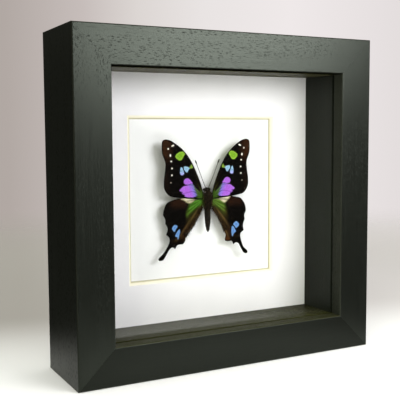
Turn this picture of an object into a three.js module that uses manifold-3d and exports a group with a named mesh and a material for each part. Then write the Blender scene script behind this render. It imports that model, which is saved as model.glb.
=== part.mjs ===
// A swallowtail butterfly pinned in a deep box frame: black-stained mitred rails, glass, stained
// spacers, a bevelled window mat, a white mount board, a hardboard back with its tabs and hanger.
// Millimetres. +Z is up, +X is to the viewer's right and +Y runs from the front to the back.
// The origin is the middle of the underside. Left and right are the viewer's.
import * as THREE from 'three';
import { mergeVertices } from 'three/addons/utils/BufferGeometryUtils.js';
import Module from 'manifold-3d';

const wasm = await Module();
wasm.setup();

// ---------- driving dimensions ----------
const side = 180;               // the frame is as wide as it is high
const depth = 48;               // front face to back edge
const face = 20;                // width of a rail seen from the front
const lip = 8;                  // thickness of the lip that the glass sits behind
const wall = 12;                // thickness of a rail behind the lip
const arris = 0.7;              // radius of the eased edges
const gap = 0.3;                // clearance between neighbouring pieces
const glassThickness = 2;
const matThickness = 2;
const boardThickness = 5;
const panelThickness = 2;
const matFront = 36.7;          // from the front face back to the mat
const windowSide = 94;          // mat window at its front edge, cut at 45 degrees
const windowX = -0.6;           // the window is cut a touch left of and below the middle
const windowZ = 89.7;

const tabsPerRail = 2;
const tabWidth = 7;
const tabLength = 12.5;
const tabThickness = 0.4;
const tabOffset = 45;           // along each rail, from its middle
const tabRoot = 6.5;            // how far a tab's driven end is from the rail's outer face

const hangerLength = 42;
const hangerHeight = 8;
const hangerThickness = 0.8;
const hangerTeeth = 8;
const toothPitch = 3.5;
const toothDepth = 1.5;
const nailOffset = 18;
const nailShank = 0.6;
const nailHead = 1.8;
const nailHeadThickness = 0.6;
const nailReach = 6;            // how deep a nail goes into the rail

const specimenX = -0.3;         // middle of the thorax
const specimenZ = 90;
const bodyDepth = 33.6;         // front face of the frame to the axis of the body
const wingThickness = 0.3;
const forewingDepth = 32.9;     // the forewings lie over the hindwings
const hindwingDepth = 33.6;
const forewingLift = 1.7;       // degrees that the forewings rise towards the glass
const bodyLean = 1.2;           // degrees that the abdomen leans to the right
const wingRoot = 3.05;          // from the body's axis to where a wing begins
const trunkFlatness = 0.9;      // the trunk is a little shallower than it is wide
const headX = -0.4;
const headZ = 4.7;
const antennaRadius = 0.16;
const clubRadius = 0.3;
const clubHalfLength = 0.9;
const legRadius = 0.22;
const pinRadius = 0.25;
const pinTop = 31.9;            // the pin is cut off inside the thorax
const pinTip = 43;
const pinPoint = 1.5;           // length of its point

// ---------- worked out from them ----------
const half = side / 2;
const front = -depth / 2;
const seat = side - 2 * (wall + gap);           // side of the square that the inner layers fill
const glassFront = lip + gap;
const spacerFront = glassFront + glassThickness + gap;
const spacerBack = matFront - gap;
const boardFront = matFront + matThickness + gap;
const panelFront = boardFront + boardThickness + gap;
const tabFront = panelFront + panelThickness + gap;

const black = { color: 0x24261f, roughness: 0.5, metalness: 0 };
const stained = { color: 0x1d1e18, roughness: 0.6, metalness: 0 };
const clear = { color: 0xdfe8e4, roughness: 0.05, metalness: 0, transparent: true, opacity: 0.25 };
const white = { color: 0xf2f2ee, roughness: 0.9, metalness: 0 };
const hardboard = { color: 0x7a5a3a, roughness: 0.8, metalness: 0 };
const zinc = { color: 0xa9abaa, roughness: 0.4, metalness: 1 };
const brassed = { color: 0xb59a5a, roughness: 0.35, metalness: 1 };
const wingBlack = { color: 0x140c08, roughness: 0.8, metalness: 0 };
const chitin = { color: 0x1a1712, roughness: 0.7, metalness: 0 };
const steel = { color: 0x8c8f92, roughness: 0.3, metalness: 1 };

// ---------- helpers ----------
const depthAt = (fromFront) => front + fromFront;

function piece(name, geometry, finish) {
  const mesh = new THREE.Mesh(geometry, new THREE.MeshStandardMaterial(finish));
  mesh.name = name;
  return mesh;
}

function solidOf(geometry) {
  const bare = geometry.clone();
  bare.deleteAttribute('normal');
  bare.deleteAttribute('uv');
  const merged = mergeVertices(bare);
  const corners = merged.index.array;
  const kept = [];
  for (let i = 0; i < corners.length; i += 3) {
    const [a, b, c] = corners.slice(i, i + 3);
    if (a !== b && b !== c && c !== a) kept.push(a, b, c);
  }
  const vertProperties = new Float32Array(merged.attributes.position.array);
  const triVerts = new Uint32Array(kept);
  return new wasm.Manifold(new wasm.Mesh({ numProp: 3, vertProperties, triVerts }));
}

function geometryOf(solid) {
  const mesh = solid.getMesh();
  const geometry = new THREE.BufferGeometry();
  geometry.setAttribute('position', new THREE.BufferAttribute(mesh.vertProperties, 3));
  geometry.setIndex(new THREE.BufferAttribute(mesh.triVerts, 1));
  return geometry;
}

function cut(geometry, tools) {
  let solid = solidOf(geometry);
  for (const tool of tools) solid = solid.subtract(solidOf(tool));
  return geometryOf(solid);
}

function join(geometries) {
  let solid = solidOf(geometries[0]);
  for (const other of geometries.slice(1)) solid = solid.add(solidOf(other));
  return geometryOf(solid);
}

// A box between two corners.
function block([x0, y0, z0], [x1, y1, z1]) {
  const box = new THREE.BoxGeometry(x1 - x0, y1 - y0, z1 - z0);
  return box.translate((x0 + x1) / 2, (y0 + y1) / 2, (z0 + z1) / 2);
}

// A round bar along Y between two depths.
function barAlongY(radius, x, z, from, to, sides = 12) {
  const bar = new THREE.CylinderGeometry(radius, radius, to - from, sides);
  return bar.translate(x, (from + to) / 2, z);
}

// A sheet lying in the X-Z plane, from its outline, between two depths.
function sheet(outline, from, to, curveSegments = 4) {
  const options = { depth: to - from, bevelEnabled: false, curveSegments };
  const plate = new THREE.ExtrudeGeometry(outline, options);
  return plate.rotateX(Math.PI / 2).translate(0, to, 0);
}

// ---------- frame rails ----------
// Section of a rail: across runs from the outer face inwards, back runs from the front face back.
function railSection() {
  const section = new THREE.Shape();
  section.moveTo(0, arris);
  section.absarc(arris, arris, arris, Math.PI, 1.5 * Math.PI, false);
  section.lineTo(face - arris, 0);
  section.absarc(face - arris, arris, arris, 1.5 * Math.PI, 2 * Math.PI, false);
  section.lineTo(face, lip);
  section.lineTo(wall, lip);
  section.lineTo(wall, depth);
  section.lineTo(arris, depth);
  section.absarc(arris, depth - arris, arris, 0.5 * Math.PI, Math.PI, false);
  section.closePath();
  return section;
}

// The bottom rail about the middle of the frame, with mitred ends and a slot for each tab.
function railGeometry() {
  const rail = new THREE.ExtrudeGeometry(railSection(), { depth: 1, bevelEnabled: false, curveSegments: 3 });
  const points = rail.attributes.position;
  const mitreGap = gap / Math.SQRT2;
  for (let i = 0; i < points.count; i++) {
    const across = points.getX(i);
    const back = points.getY(i);
    const end = points.getZ(i) > 0.5 ? -1 : 1;
    points.setXYZ(i, end * (half - across - mitreGap), depthAt(back), across - half);
  }
  const slots = [-tabOffset, tabOffset].map((x) => block(
    [x - tabWidth / 2 - gap, depthAt(tabFront - gap), tabRoot - gap - half],
    [x + tabWidth / 2 + gap, depthAt(tabFront + tabThickness + gap), wall + gap - half],
  ));
  return cut(rail, slots);
}

// The top rail also has the two holes that the hanger's nails are driven into.
function topRailGeometry() {
  const deepest = depthAt(depth - nailReach - gap);
  const holes = [-nailOffset, nailOffset].map((x) => (
    barAlongY(nailShank + gap, x, wall / 2 - half, deepest, depthAt(depth + 1))
  ));
  return cut(railGeometry(), holes);
}

function rails() {
  const group = new THREE.Group();
  const turns = { bottom: 0, left: 1, top: 2, right: 3 };
  for (const [name, turn] of Object.entries(turns)) {
    const geometry = name === 'top' ? topRailGeometry() : railGeometry();
    const rail = piece(`frame_rail_${name}`, geometry, black);
    rail.rotation.y = turn * Math.PI / 2;
    group.add(rail);
  }
  group.position.z = half;
  return group;
}

// ---------- glass, spacers, mat, board and back ----------
function layer(name, thickness, from, finish) {
  const low = [-seat / 2, depthAt(from), half - seat / 2];
  const high = [seat / 2, depthAt(from + thickness), half + seat / 2];
  return piece(name, block(low, high), finish);
}

function spacers() {
  const group = new THREE.Group();
  const inner = half - face;
  const outer = seat / 2;
  const y0 = depthAt(spacerFront);
  const y1 = depthAt(spacerBack);
  const spans = {
    bottom: [[-outer, y0, -outer], [outer, y1, -inner]],
    top: [[-outer, y0, inner], [outer, y1, outer]],
    left: [[-outer, y0, gap - inner], [-inner, y1, inner - gap]],
    right: [[inner, y0, gap - inner], [outer, y1, inner - gap]],
  };
  for (const [name, [low, high]] of Object.entries(spans)) {
    group.add(piece(`spacer_${name}`, block(low, high), stained));
  }
  group.position.z = half;
  return group;
}

function windowMat() {
  const plain = layer('window_mat', matThickness, matFront, white);
  const over = 1;                                         // the cutter passes both faces
  const frontHalf = windowSide / 2 + over;
  const backHalf = windowSide / 2 - matThickness - over;
  const height = matThickness + 2 * over;
  const cutter = new THREE.CylinderGeometry(backHalf * Math.SQRT2, frontHalf * Math.SQRT2, height, 4);
  cutter.rotateY(Math.PI / 4);
  cutter.translate(windowX, depthAt(matFront + matThickness / 2), windowZ);
  plain.geometry = cut(plain.geometry, [cutter]);
  return plain;
}

function mountBoard() {
  const board = layer('mount_board', boardThickness, boardFront, white);
  const from = depthAt(boardFront - 1);
  const hole = barAlongY(pinRadius + gap, specimenX, specimenZ, from, depthAt(pinTip + gap));
  board.geometry = cut(board.geometry, [hole]);
  return board;
}

// ---------- tabs and hanger ----------
function tabOutline() {
  const tip = tabWidth / 2;
  const outline = new THREE.Shape();
  outline.moveTo(-tip, 0);
  outline.lineTo(tip, 0);
  outline.lineTo(tip, tabLength - tip);
  outline.absarc(0, tabLength - tip, tip, 0, Math.PI, false);
  outline.closePath();
  return outline;
}

function tabs() {
  const group = new THREE.Group();
  const plate = sheet(tabOutline(), depthAt(tabFront), depthAt(tabFront + tabThickness));
  plate.translate(0, 0, tabRoot - half);
  for (let i = 0; i < 4 * tabsPerRail; i++) {
    const turned = new THREE.Group();
    const tab = piece(`tab_${i + 1}`, plate, zinc);
    tab.position.x = i % tabsPerRail ? tabOffset : -tabOffset;
    turned.rotation.y = Math.floor(i / tabsPerRail) * Math.PI / 2;
    turned.add(tab);
    group.add(turned);
  }
  group.position.z = half;
  return group;
}

function hangerOutline() {
  const outline = new THREE.Shape();
  const end = hangerLength / 2;
  const run = hangerTeeth * toothPitch / 2;
  outline.moveTo(-end, hangerHeight / 2);
  outline.lineTo(-end, -hangerHeight / 2);
  for (let i = 0; i < hangerTeeth; i++) {
    const x = -run + i * toothPitch;
    outline.lineTo(x, -hangerHeight / 2);
    outline.lineTo(x + toothPitch / 2, -hangerHeight / 2 + toothDepth);
  }
  outline.lineTo(run, -hangerHeight / 2);
  outline.lineTo(end, -hangerHeight / 2);
  outline.lineTo(end, hangerHeight / 2);
  outline.closePath();
  for (const x of [-nailOffset, nailOffset]) {
    const hole = new THREE.Path();
    hole.absarc(x, 0, nailShank + gap, 0, 2 * Math.PI, true);
    outline.holes.push(hole);
  }
  return outline;
}

function hanger() {
  const group = new THREE.Group();
  const plateFront = depthAt(depth + gap);
  const plateBack = plateFront + hangerThickness;
  group.add(piece('hanger', sheet(hangerOutline(), plateFront, plateBack), brassed));
  const headFront = plateBack + gap;
  const nail = join([
    barAlongY(nailShank, 0, 0, depthAt(depth - nailReach), headFront + nailHeadThickness / 2),
    barAlongY(nailHead, 0, 0, headFront, headFront + nailHeadThickness, 16),
  ]);
  for (const [name, x] of [['left', -nailOffset], ['right', nailOffset]]) {
    const driven = piece(`hanger_nail_${name}`, nail, brassed);
    driven.position.x = x;
    group.add(driven);
  }
  group.position.z = side - wall / 2;
  return group;
}

// ---------- wings ----------
// An outline is a chain of smooth stretches that meet at corners: x is out from the body's axis,
// z is up from the middle of the thorax. Each stretch starts where the one before it ends.
const forewing = [
  [[wingRoot, 3.7], [4.9, 9.6], [9.8, 20.3], [15.1, 27.4], [21.6, 32.2], [25.4, 33.5], [27.5, 33.0]],
  [[28.1, 31.4], [28.0, 26.0], [26.2, 20.9], [26.2, 17.0], [27.1, 10.4], [26.8, 6.0], [24.2, 2.4],
    [20.0, 1.1], [9.3, -0.2], [wingRoot, -0.8]],
];
const hindwings = {
  left: [
    [[wingRoot, -0.3], [9.0, 1.0], [15.9, -0.1], [21.0, -0.3], [25.2, -1.8], [27.2, -5.2], [27.9, -8.6]],
    [[26.5, -11.2], [26.5, -13.5]],
    [[25.1, -16.4], [26.0, -19.8]],
    [[24.1, -21.8], [24.3, -24.8], [27.6, -29.8], [30.6, -32.6], [30.7, -33.9], [29.3, -34.2],
      [27.8, -33.7], [26.1, -31.3], [24.2, -28.4], [22.3, -27.1], [20.6, -28.2]],
    [[18.9, -26.0], [15.7, -25.8]],
    [[14.2, -24.1], [13.4, -21.2], [8.6, -15.0], [3.3, -6.6], [wingRoot, -5.0]],
  ],
  right: [
    [[wingRoot, -0.3], [9.0, 0.9], [15.5, -0.5], [19.4, -0.4], [22.4, -1.2], [25.2, -4.8], [25.9, -8.6]],
    [[24.8, -11.2], [25.1, -13.5]],
    [[23.9, -17.0], [24.4, -20.2]],
    [[22.4, -21.7], [22.1, -23.8], [22.9, -27.0], [24.3, -30.0], [26.6, -32.3], [26.9, -33.8],
      [25.4, -34.1], [23.9, -33.0], [22.1, -29.9], [20.8, -27.7], [18.9, -27.2], [17.4, -28.2]],
    [[16.2, -26.1], [13.4, -26.1], [11.7, -25.2], [12.3, -22.4]],
    [[10.9, -19.0], [8.3, -13.6], [5.9, -9.3], [3.4, -6.1], [wingRoot, -5.0]],
  ],
};

function wingOutline(stretches, flip) {
  const outline = new THREE.Shape();
  const points = stretches.map((stretch) => stretch.map(([x, z]) => new THREE.Vector2(flip * x, z)));
  const start = points[0].shift();
  outline.moveTo(start.x, start.y);
  for (const stretch of points) outline.splineThru(stretch);
  outline.closePath();
  return outline;
}

function wing(name, stretches, flip, from, lift) {
  const outline = wingOutline(stretches, flip);
  const plate = sheet(outline, 0, wingThickness, 5);
  const mesh = piece(name, plate, wingBlack);
  mesh.rotation.z = -flip * THREE.MathUtils.degToRad(lift);
  mesh.position.set(specimenX, depthAt(from), specimenZ);
  return mesh;
}

function wings() {
  const group = new THREE.Group();
  for (const [name, flip] of [['left', -1], ['right', 1]]) {
    group.add(wing(`forewing_${name}`, forewing, flip, forewingDepth, forewingLift));
    group.add(wing(`hindwing_${name}`, hindwings[name], flip, hindwingDepth, 0));
  }
  return group;
}

// ---------- body ----------
// Half-widths down the thorax, then the rings of the abdomen, as [z, half-width].
function trunkProfile() {
  const thorax = [
    [4.5, 0], [4.3, 1.0], [3.7, 1.9], [2.6, 2.45], [0.8, 2.7], [-1.6, 2.6], [-3.8, 2.2], [-5.6, 1.7],
  ];
  const ringWidths = [1.8, 1.88, 1.86, 1.78, 1.62, 1.36, 0.95];
  const ringLength = 1.8;
  const rings = ringWidths.flatMap((width, i) => {
    const top = -6 - i * ringLength;
    return [[top, 0.93 * width], [top - 0.3 * ringLength, width], [top - 0.8 * ringLength, width]];
  });
  const tip = [[-18.6, 0.5], [-19.3, 0.42], [-19.5, 0]];
  return [...thorax, ...rings, ...tip];
}

function trunk() {
  const profile = trunkProfile().reverse().map(([z, width]) => new THREE.Vector2(width, z));
  const turned = new THREE.LatheGeometry(profile, 16);
  return turned.rotateX(Math.PI / 2).scale(1, trunkFlatness, 1);
}

function ball(x, y, z, rx, ry, rz) {
  return new THREE.SphereGeometry(1, 12, 8).rotateX(Math.PI / 2).scale(rx, ry, rz).translate(x, y, z);
}

// A bar of even thickness through a few points.
function rod(points, radius, steps) {
  const path = new THREE.CatmullRomCurve3(points.map((point) => new THREE.Vector3(...point)));
  const round = new THREE.Shape().absarc(0, 0, radius, 0, 2 * Math.PI, false);
  return new THREE.ExtrudeGeometry(round, { steps, extrudePath: path, bevelEnabled: false, curveSegments: 3 });
}

const antennaTips = { left: [-7.1, -0.6, 21.2], right: [7.9, -0.6, 21.2] };
const legRoots = [2.0, 0.0, -2.0];     // heights of the three pairs of legs on the thorax

function head() {
  const skull = ball(headX, 0, headZ, 1.5, 1.35, 1.25);
  const eyes = [-1, 1].map((flip) => ball(headX + 1.15 * flip, -0.15, headZ + 0.2, 0.75, 0.85, 0.85));
  return [skull, ...eyes];
}

function antennae() {
  return Object.values(antennaTips).flatMap(([x, y, z]) => {
    const flip = Math.sign(x);
    const root = [headX + 0.6 * flip, -0.7, headZ + 0.7];
    const bow = [(root[0] + x) / 2 + 0.2 * flip, -1.0, (root[2] + z) / 2];
    const club = ball(0, 0, 0, clubRadius, clubRadius, clubHalfLength);
    club.rotateY(Math.atan2(x - bow[0], z - bow[2])).translate(x, y, z);
    return [rod([root, bow, [x, y, z]], antennaRadius, 10), club];
  });
}

// Each leg is folded back under the thorax.
function legs() {
  return legRoots.flatMap((root, i) => [-1, 1].map((flip) => {
    const out = 0.35 * i;
    return rod([
      [flip * 1.2, 1.5, root],
      [flip * (2.3 + out), 2.9, root - 1.4],
      [flip * (1.7 + out), 3.7, root - 4.2],
      [flip * (1.3 + out), 3.9, root - 6.4],
    ], legRadius, 8);
  }));
}

function body() {
  const solid = join([trunk(), ...head(), ...antennae(), ...legs()]);
  const socket = barAlongY(pinRadius + gap, 0, 0, pinTop - gap - bodyDepth, 5);
  const mesh = piece('butterfly_body', cut(solid, [socket]), chitin);
  mesh.rotation.y = -THREE.MathUtils.degToRad(bodyLean);
  mesh.position.set(specimenX, depthAt(bodyDepth), specimenZ);
  return mesh;
}

function pin() {
  const profile = [[0, pinTop], [pinRadius, pinTop], [pinRadius, pinTip - pinPoint], [0, pinTip]];
  const turned = new THREE.LatheGeometry(profile.map(([r, y]) => new THREE.Vector2(r, depthAt(y))), 12);
  const mesh = piece('specimen_pin', turned, steel);
  mesh.position.set(specimenX, 0, specimenZ);
  return mesh;
}

// ---------- the whole ----------
const specimenFrame = new THREE.Group();
specimenFrame.add(
  rails(),
  layer('glass_pane', glassThickness, glassFront, clear),
  spacers(),
  windowMat(),
  mountBoard(),
  layer('back_panel', panelThickness, panelFront, hardboard),
  tabs(),
  hanger(),
  wings(),
  body(),
  pin(),
);

export default specimenFrame;
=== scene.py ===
"""A swallowtail butterfly in a deep box frame: the looks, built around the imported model."""
import math
from functools import partial

import bmesh
import bpy
import numpy as np
from mathutils import Matrix, Vector
from mathutils.geometry import delaunay_2d_cdt


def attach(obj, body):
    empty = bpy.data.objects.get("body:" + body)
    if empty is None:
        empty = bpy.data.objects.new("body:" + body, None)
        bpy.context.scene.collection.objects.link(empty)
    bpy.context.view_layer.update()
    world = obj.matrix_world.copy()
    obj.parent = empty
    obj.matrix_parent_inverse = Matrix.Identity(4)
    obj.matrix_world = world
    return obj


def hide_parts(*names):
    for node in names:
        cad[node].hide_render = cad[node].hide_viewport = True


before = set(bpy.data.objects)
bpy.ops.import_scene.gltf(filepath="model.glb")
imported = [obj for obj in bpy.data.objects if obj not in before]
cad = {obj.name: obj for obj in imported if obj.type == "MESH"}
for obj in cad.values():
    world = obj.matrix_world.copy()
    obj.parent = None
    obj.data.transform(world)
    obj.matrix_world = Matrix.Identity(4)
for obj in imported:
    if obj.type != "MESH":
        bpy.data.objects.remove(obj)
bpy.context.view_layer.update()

# ---------- sizes, in millimetres; depths run back from the front face ----------
MM = 0.001
SIDE, DEPTH = 180, 48
FACE, LIP, WALL = 20, 8, 12          # rail width, lip thickness, wall thickness behind the lip
ARRIS, MITRE_ARRIS = 0.7, 0.03       # radii of the eased edges
MITRE_GAP = 0.004                    # half the hairline in a mitre
SPACER_ARRIS, BEVEL_ARRIS = 0.25, 0.06
FRONT = -DEPTH / 2
SEAT = 155.4                         # side of the square that the inner layers fill
GLASS_BACK = 10.3
MAT_FRONT, MAT_BACK = 36.7, 38.97    # the mat lies on the mount board
WINDOW, WINDOW_BACK = 94, 90
WINDOW_X, WINDOW_Z = -0.6, 89.7
SPECIMEN = Vector((-0.3, 0, 90))     # middle of the thorax
FOREWING_DEPTH, HINDWING_DEPTH, BODY_DEPTH = 32.9, 33.6, 33.6
FOREWING_LIFT = 1.7                  # degrees that the forewings rise towards the glass
BODY_LEAN = 1.2                      # degrees that the abdomen leans to the right
WING_THICKNESS = 0.14
ROOT = 3.05                          # from the body's axis to where a wing begins
MARGIN_HAIRS, THORAX_HAIRS, HEAD_HAIRS, BASE_HAIRS = 1700, 3600, 700, 420
chance = np.random.default_rng(41)


def place(x, depth, z):
    """A point of the frame in metres, from millimetres."""
    return Vector((x, FRONT + depth, z)) * MM


# ---------- materials ----------
def linear(code):
    """An sRGB hex colour as linear RGBA."""
    parts = [int(code[i:i + 2], 16) / 255 for i in (1, 3, 5)]
    return (*[c / 12.92 if c <= 0.04045 else ((c + 0.055) / 1.055) ** 2.4 for c in parts], 1)


def fill(socket, value):
    """Puts a value into a socket, or links it from an output, or from a node's first output in use."""
    if isinstance(value, bpy.types.Node):
        value = next(output for output in value.outputs if output.enabled)
    if isinstance(value, bpy.types.NodeSocket):
        socket.id_data.links.new(value, socket)
    elif value is not None:
        socket.default_value = value


def feed(node, *inputs, **settings):
    """Gives a node its settings, named for its properties or sockets with _ for a space, or stops of a position
    and a hex colour, and then what goes into the sockets that it uses, in their order."""
    for key, value in settings.items():
        if key == "stops":
            points = node.color_ramp.elements
            while len(points) < len(value):
                points.new(0.5)
            for point, (position, code) in zip(points, value):
                point.position = position
                point.color = linear(code)
        elif hasattr(node, key):
            setattr(node, key, value)
        else:
            fill(node.inputs[key.replace("_", " ")], value)
    for socket, value in zip([socket for socket in node.inputs if socket.enabled], inputs):
        fill(socket, value)
    return node


def add(tree, kind, *inputs, **settings):
    return feed(tree.nodes.new("ShaderNode" + kind), *inputs, **settings)


def finish(name):
    """A new material, what adds nodes to it, and its Object coordinates."""
    made = bpy.data.materials.new(name)
    made.use_nodes = True
    put = partial(add, made.node_tree)
    return made, put, put("TexCoord").outputs["Object"]


def drawn(put, kind, where, scale, **settings):
    """A texture drawn out differently along each axis, in repeats a metre."""
    return put(kind, put("Mapping", where, Scale=scale), Scale=1, **settings)


def dress(made, colour, rough, bump=None, **settings):
    """Feeds a material's shader. Bump is its strength, its depth in metres and what gives its height."""
    tree = made.node_tree
    if bump:
        strength, distance, height = bump
        settings["Normal"] = add(tree, "Bump", Strength=strength, Distance=distance, Height=height)
    feed(tree.nodes["Principled BSDF"], Base_Color=colour, Roughness=rough, **settings)
    return made


def thin(made, share):
    """Lets a share of the rays through a material unchanged."""
    tree = made.node_tree
    mixed = add(tree, "MixShader", share, tree.nodes["Principled BSDF"], add(tree, "BsdfTransparent"))
    feed(tree.nodes["Material Output"], mixed)
    return made


def stained_wood(name, base, deep, worn, along, shift, gloss, pores, shine, tint):
    """Black-stained open-pored ash under a thin satin varnish, planed and sanded. The stain hides the
    colour, so the eye reads the grain by its short dark pores, where the varnish sinks and the sheen breaks."""
    made, put, where = finish(name)
    grain = put("Mapping", where, Rotation=(0, math.radians(90) if along == "Z" else 0, 0), Location=shift)
    # Fibres: about 25 mm long and 0.6 mm wide.
    fibre = drawn(put, "TexNoise", grain, (40, 1700, 1700), Detail=3, Roughness=0.55)
    # Growth rings: bands some 6 mm wide that wander slowly, richer in pores on one side.
    ring = drawn(put, "TexNoise", grain, (7, 160, 160), Detail=2, Roughness=0.5)
    ring_band = put("MapRange", ring, 0.4, 0.56, 0.2, 1)
    # Pores: real ones are 0.2 mm wide and 1 to 4 mm long; drawn 0.4 mm wide, so that they show.
    pore = put("MapRange", drawn(put, "TexVoronoi", grain, (360, 1700, 1700)), 0.22, 0.37, 1, 0)
    held = put("Math", pore, ring_band, operation="MULTIPLY")
    depth = put("Math", held, pores, operation="MULTIPLY")
    # The stain takes unevenly in patches about 40 mm across.
    patch = put("TexNoise", grain, Scale=26, Detail=3)
    tone = put("Mix", patch, linear(base), linear(deep), data_type="RGBA")
    lines = put("ValToRGB", fibre, stops=[(0.3, "#9a9a94"), (0.7, "#ffffff")])
    fibred = put("Mix", 0.45, tone, lines, data_type="RGBA", blend_type="MULTIPLY")
    # Handling has rubbed the arrises to a slightly warmer, barer stain.
    arris = put("Attribute", attribute_name="arris").outputs["Fac"]
    rub = put("Math", arris, fibre, operation="MULTIPLY")
    rubbed = put("Mix", rub, fibred, linear(worn), data_type="RGBA")
    sunk = put("Mix", depth, rubbed, linear("#050504"), data_type="RGBA")
    sheen = put("MapRange", fibre, 0, 1, gloss - 0.05, gloss + 0.07)
    rough = put("Math", sheen, depth, operation="ADD")
    relief = put("Math", depth, -1, fibre, operation="MULTIPLY_ADD")
    return dress(made, sunk, rough, (0.02, 0.0003, relief), IOR=1.5, Specular_IOR_Level=shine,
                 Specular_Tint=linear(tint))


def paper_board(name, base, shade, tooth, rough):
    """Acid-free rag board: white pulp pressed to a faint tooth, which keeps the light soft and even."""
    made, put, where = finish(name)
    # Real tooth is 0.1 mm; drawn about 0.5 mm across, so that it shows.
    pulp = put("TexNoise", where, Scale=2000, Detail=4, Roughness=0.6)
    cloud = put("TexNoise", where, Scale=45, Detail=2)
    mixed = put("Math", cloud, 0.5, pulp, operation="MULTIPLY_ADD")
    colour = put("ValToRGB", mixed, stops=[(0.45, shade), (0.85, base)])
    grit = put("MapRange", pulp, 0, 1, rough - 0.06, rough + 0.06)
    return dress(made, colour, grit, (tooth, 0.0001, pulp), IOR=1.45, Specular_IOR_Level=0.3)


def mat_core():
    """The cut core of mat board: pale cream pulp in plies, darkening to khaki towards the back as a painted shadow, so
    the bevel reads as a pale band with a thin khaki shadow line where it meets the mount."""
    made, put, where = finish("cream_mat_core")
    # Plies 0.3 mm thick.
    layer = drawn(put, "TexNoise", where, (60, 3200, 60), Detail=3)
    height = put("SeparateXYZ", where).outputs["Y"]
    # Painted shadow: the colour turns khaki towards the back of the mat, for the shadow line where the bevel meets the
    # mount board.
    deep = put("MapRange", height, (FRONT + MAT_FRONT) * MM, (FRONT + MAT_BACK) * MM)
    plies_and_painted_shadow = put("Math", layer, 0.12, deep, operation="MULTIPLY_ADD")
    colour = put("ValToRGB", plies_and_painted_shadow, stops=[(0, "#f6f2e0"), (0.6, "#f2edd6"), (0.8, "#cdc7aa"), (1, "#b3ad90")])
    return dress(made, colour, 0.92, (0.2, 0.0001, layer), IOR=1.45, Specular_IOR_Level=0.25)


def float_glass():
    """Clear 2 mm float glass, cut and washed: invisible but for a thin reflection. Lamps shine through it."""
    made, put, where = finish("clear_float_glass")
    wave = put("TexNoise", where, Scale=18, Detail=1)
    dress(made, (1, 1, 1, 1), 0, (0.02, 0.0002, wave), Transmission_Weight=1, IOR=1.5)
    ray = put("LightPath").outputs
    return thin(made, put("Math", ray["Is Shadow Ray"], ray["Is Diffuse Ray"], operation="MAXIMUM"))


def hardboard():
    """Standard hardboard: hot-pressed brown wood fibre with a smooth face, mottled by its matted fibres."""
    made, put, where = finish("brown_hardboard")
    # Matted fibres some 1.6 mm long, with flecks of 0.9 mm.
    mat = put("TexNoise", where, Scale=620, Detail=8, Roughness=0.72, Distortion=0.7)
    fleck = put("TexVoronoi", where, Scale=1100)
    colour = put("ValToRGB", mat, stops=[(0.3, "#4a3220"), (0.5, "#76543a"), (0.72, "#8f6d4c")])
    spots = put("ValToRGB", fleck, stops=[(0.05, "#6a5238"), (0.25, "#ffffff")])
    flecked = put("Mix", 0.5, colour, spots, data_type="RGBA", blend_type="MULTIPLY")
    return dress(made, flecked, put("MapRange", mat, 0, 1, 0.5, 0.72), (0.25, 0.0002, mat), IOR=1.5)


def rolled_metal(name, base, shade, stain, rough, along):
    """Cold-rolled strip, stamped and plated: fine rolling lines along it, dull clouds and small stains."""
    made, put, where = finish(name)
    # Rolling lines 0.2 mm apart, the finest that still show.
    line = drawn(put, "TexNoise", where, along, Detail=4)
    cloud = put("TexNoise", where, Scale=420, Detail=4, Roughness=0.6)
    colour = put("ValToRGB", cloud, stops=[(0.24, stain), (0.38, shade), (0.62, base)])
    dull = put("Math", cloud, 0.3, rough - 0.15, operation="MULTIPLY_ADD")
    return dress(made, colour, dull, (0.15, 0.00005, line), Metallic=1)


def wing_scales():
    """Dried wing membrane under rows of dusty scales: the colour sits in the scales, so it is velvety
    and nearly without gloss, with a fine broken grain."""
    made, put, where = finish("butterfly_wing_scales")
    paint = put("Attribute", attribute_name="wing_colour").outputs["Color"]
    # Real scales are 0.1 mm; drawn 0.3 mm, so that their grain shows.
    scale = put("TexVoronoi", where, Scale=3300)
    dust = put("TexNoise", where, Scale=900, Detail=4, Roughness=0.7)
    grain = put("Math", scale, 0.3, dust, operation="MULTIPLY_ADD")
    dim = put("ValToRGB", grain, stops=[(0.35, "#b8b4b0"), (0.85, "#ffffff")])
    broken = put("Mix", 0.5, paint, dim, data_type="RGBA", blend_type="MULTIPLY")
    rough = put("MapRange", dust, 0, 1, 0.6, 0.85)
    return dress(made, broken, rough, (0.3, 0.00006, grain), IOR=1.45, Specular_IOR_Level=0.02)


def insect_shell(name, base, light, rough, size, strength):
    """Dried insect cuticle: hard, dark and a little waxy, mottled by what is left of its scales."""
    made, put, where = finish(name)
    mottle = put("TexNoise", where, Scale=size, Detail=5, Roughness=0.65)
    pit = put("TexVoronoi", where, Scale=size * 4)
    colour = put("ValToRGB", mottle, stops=[(0.4, base), (0.66, light)])
    worn = put("MapRange", mottle, 0, 1, rough - 0.1, rough + 0.12)
    return dress(made, colour, worn, (strength, 0.0001, pit), IOR=1.54, Specular_IOR_Level=0.07)


def insect_hair(name, base, light):
    """Fine dried setae: dark, with greyer patches scattered at random that stand for light getting into them, which
    blurs the outline.
    """
    made, put, where = finish(name)
    tint = put("TexNoise", where, Scale=1100, Detail=2)
    colour = put("ValToRGB", tint, stops=[(0.45, base), (0.68, light)])
    return dress(made, colour, 0.6, (0.1, 0.00005, tint), IOR=1.55, Specular_IOR_Level=0.06)


RAIL = {"base": "#171916", "deep": "#121310", "worn": "#262721", "gloss": 0.3, "pores": 0.27, "shine": 0.36,
        "tint": "#f2ffec"}
RAW = {"base": "#22241e", "deep": "#1b1d18", "worn": "#282a23", "gloss": 0.5, "pores": 0.3, "shine": 0.07,
       "tint": "#fbffef"}
SPACER = {"base": "#1f221d", "deep": "#191b17", "worn": "#262822", "gloss": 0.36, "pores": 0.2, "shine": 0.07,
          "tint": "#f8ffee"}
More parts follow.
